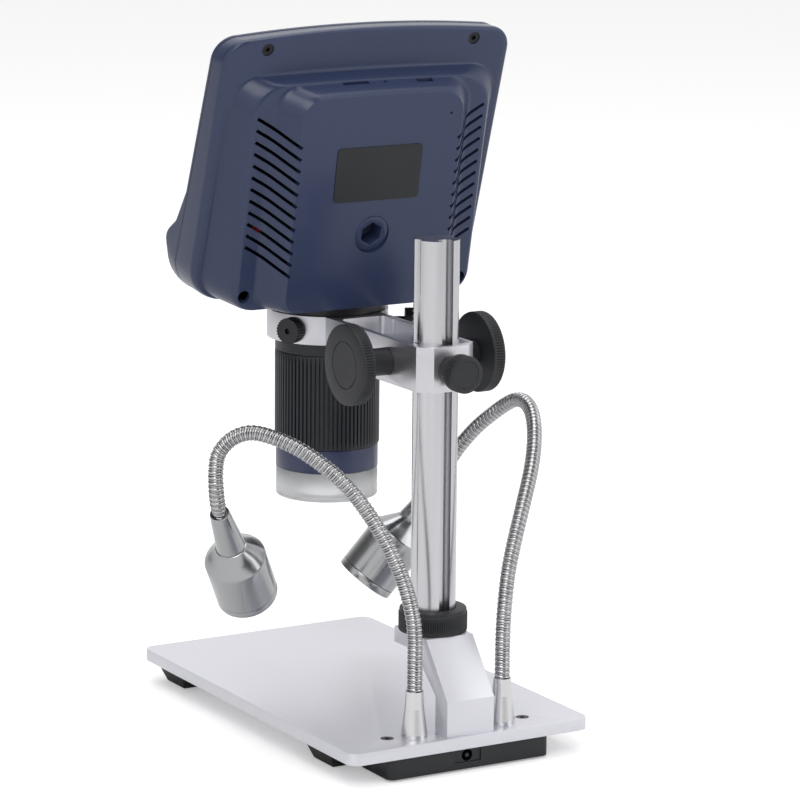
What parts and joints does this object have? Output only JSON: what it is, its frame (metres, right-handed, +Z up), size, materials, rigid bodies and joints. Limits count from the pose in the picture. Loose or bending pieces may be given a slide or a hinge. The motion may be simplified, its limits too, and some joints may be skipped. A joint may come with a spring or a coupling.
{
  "type": "lcd digital microscope",
  "caption": "Bench digital microscope: screen head on a rack-and-pinion column over a metal base plate, with flexible-neck side lamps.",
  "frame": {"origin": "centre of the base plate's top face", "axes": "+Z up, -Y towards the operator, +X to the operator's right"},
  "size_m": [0.1647, 0.2, 0.3185],
  "materials": {
    "bead_blasted_aluminium": "satin",
    "bright_steel": "polished",
    "dark_screws": "satin",
    "black_rubber": "matte",
    "black_plastic": "satin",
    "black_knob": "satin",
    "navy_plastic": "gloss",
    "grey_column": "satin",
    "brass": "polished",
    "frosted_white": "frosted",
    "circuit_board": "satin",
    "glass_black": "gloss",
    "clear_glass": "clear",
    "lamp_metal": "satin",
    "lamp_lens": "satin",
    "red_lamp": "gloss",
    "display_grey": "satin",
    "label_black": "satin"
  },
  "bodies": {
    "stand": {"base_plate": "bead_blasted_aluminium", "rubber_feet": "black_rubber", "control_box": "black_plastic", "control_board": "circuit_board", "power_jack": "black_plastic", "box_screws": "dark_screws", "column_foot": "bead_blasted_aluminium", "foot_screws": "dark_screws", "column": "grey_column", "column_bolt": "dark_screws", "rack": "bright_steel", "neck_sockets": "bright_steel", "socket_nuts": "bright_steel"},
    "ring_nut": {"ring_nut": "black_knob"},
    "carriage": {"arm": "bead_blasted_aluminium", "shaft_bushings": "black_plastic"},
    "focus_drive": {"focus_shaft": "bright_steel", "focus_pinion": "brass", "knob_right": "black_knob", "knob_left": "black_knob", "knob_caps": "black_plastic"},
    "lock_screw": {"lock_knob": "black_knob", "lock_stud": "brass"},
    "clamp_screw_right": {"clamp_screw_right": "black_knob"},
    "clamp_screw_left": {"clamp_screw_left": "black_knob"},
    "microscope_head": {"barrel_collar": "black_plastic", "barrel_tube": "black_plastic", "sensor_board": "circuit_board", "nose_ring": "navy_plastic", "light_ring": "circuit_board", "frosted_cap": "frosted_white", "rear_shell": "navy_plastic", "front_bezel": "navy_plastic", "screen_glass": "glass_black", "display_panel": "display_grey", "main_board": "circuit_board", "board_sockets": "bright_steel", "indicator_lamp": "red_lamp", "button_board": "circuit_board", "shell_screws": "dark_screws", "rating_plate": "label_black", "mount_insert": "navy_plastic"},
    "focus_ring": {"focus_grip": "black_rubber"},
    "lens_carriage": {"lens_carrier": "black_plastic", "lenses": "clear_glass"},
    "front_button_1": {"front_button_1": "black_plastic"},
    "front_button_2": {"front_button_2": "black_plastic"},
    "front_button_3": {"front_button_3": "black_plastic"},
    "front_button_4": {"front_button_4": "black_plastic"},
    "front_button_5": {"front_button_5": "black_plastic"},
    "right_neck_lower": {"right_neck_lower": "bright_steel"},
    "right_neck_upper": {"right_neck_upper": "bright_steel"},
    "right_lamp": {"right_lamp": "lamp_metal", "right_lamp_ring": "lamp_metal", "right_lamp_light": "lamp_lens"},
    "left_neck_lower": {"left_neck_lower": "bright_steel"},
    "left_neck_upper": {"left_neck_upper": "bright_steel"},
    "left_lamp": {"left_lamp": "lamp_metal", "left_lamp_ring": "lamp_metal", "left_lamp_light": "lamp_lens"}
  },
  "joints": [
    {"name": "ring_nut_turn", "type": "hinge", "parent": "stand", "child": "ring_nut", "pos_m": [0, 0.0647, 0.045], "axis": [0, 0, 1], "range_deg": [-180, 180]},
    {"name": "arm_slide", "type": "slide", "parent": "stand", "child": "carriage", "axis": [0, 0, 1], "range_m": [-0.018, 0.038]},
    {"name": "focus_knob_turn", "type": "hinge", "parent": "carriage", "child": "focus_drive", "pos_m": [0, 0.0472, 0.1595], "axis": [-1, 0, 0], "range_deg": [-196.5, 414.8]},
    {"name": "lock_knob_turn", "type": "hinge", "parent": "carriage", "child": "lock_screw", "pos_m": [0, 0.078, 0.1595], "axis": [0, 1, 0], "range_deg": [-180, 90]},
    {"name": "clamp_right_turn", "type": "hinge", "parent": "carriage", "child": "clamp_screw_right", "pos_m": [0, -0.032, 0.16335], "axis": [0.8829, 0.4695, 0], "range_deg": [-180, 180]},
    {"name": "clamp_left_turn", "type": "hinge", "parent": "carriage", "child": "clamp_screw_left", "pos_m": [0, -0.032, 0.16335], "axis": [-0.8829, 0.4695, 0], "range_deg": [-180, 180]},
    {"name": "head_swivel", "type": "hinge", "parent": "carriage", "child": "microscope_head", "pos_m": [0, -0.032, 0.17], "axis": [0, 0, 1], "range_deg": [-90, 90]},
    {"name": "focus_ring_turn", "type": "hinge", "parent": "microscope_head", "child": "focus_ring", "pos_m": [0, -0.032, 0.129], "axis": [0, 0, 1], "range_deg": [-150, 150]},
    {"name": "lens_slide", "type": "slide", "parent": "microscope_head", "child": "lens_carriage", "axis": [0, 0, 1], "range_m": [-0.0053, 0.0053]},
    {"name": "front_button_1_press", "type": "slide", "parent": "microscope_head", "child": "front_button_1", "axis": [0, 0.8211, -0.5707], "range_m": [0, 0.0008], "stiffness_N_per_m": 250},
    {"name": "front_button_2_press", "type": "slide", "parent": "microscope_head", "child": "front_button_2", "axis": [0, 0.8211, -0.5707], "range_m": [0, 0.0008], "stiffness_N_per_m": 250},
    {"name": "front_button_3_press", "type": "slide", "parent": "microscope_head", "child": "front_button_3", "axis": [0, 0.8211, -0.5707], "range_m": [0, 0.0008], "stiffness_N_per_m": 250},
    {"name": "front_button_4_press", "type": "slide", "parent": "microscope_head", "child": "front_button_4", "axis": [0, 0.8211, -0.5707], "range_m": [0, 0.0008], "stiffness_N_per_m": 250},
    {"name": "front_button_5_press", "type": "slide", "parent": "microscope_head", "child": "front_button_5", "axis": [0, 0.8211, -0.5707], "range_m": [0, 0.0008], "stiffness_N_per_m": 250},
    {"name": "right_neck_turn", "type": "hinge", "parent": "stand", "child": "right_neck_lower", "pos_m": [0.0225, 0.0874, 0.0205], "axis": [0, 0, 1], "range_deg": [-8, 30]},
    {"name": "right_neck_bend", "type": "hinge", "parent": "right_neck_lower", "child": "right_neck_upper", "pos_m": [0.059, 0.0455, 0.1248], "axis": [-0.7528, -0.6582, 0], "range_deg": [-12, 15]},
    {"name": "right_lamp_tilt", "type": "hinge", "parent": "right_neck_upper", "child": "right_lamp", "pos_m": [0.0825, 0.0185, 0.0925], "axis": [-0.6769, 0.7361, 0], "range_deg": [-20, 20]},
    {"name": "left_neck_turn", "type": "hinge", "parent": "stand", "child": "left_neck_lower", "pos_m": [-0.0225, 0.0874, 0.0205], "axis": [0, 0, 1], "range_deg": [-30, 8]},
    {"name": "left_neck_bend", "type": "hinge", "parent": "left_neck_lower", "child": "left_neck_upper", "pos_m": [-0.065, 0.0435, 0.121], "axis": [-0.8772, 0.4801, 0], "range_deg": [-12, 15]},
    {"name": "left_lamp_tilt", "type": "hinge", "parent": "left_neck_upper", "child": "left_lamp", "pos_m": [-0.0565, -0.0224, 0.0835], "axis": [-0.4163, -0.9092, 0], "range_deg": [-25, 12]}
  ],
  "couplings": [
    {"joint": "focus_knob_turn", "follows": "arm_slide", "rad_per_m": 190.48},
    {"joint": "lens_slide", "follows": "focus_ring_turn", "m_per_rad": 0.002}
  ]
}
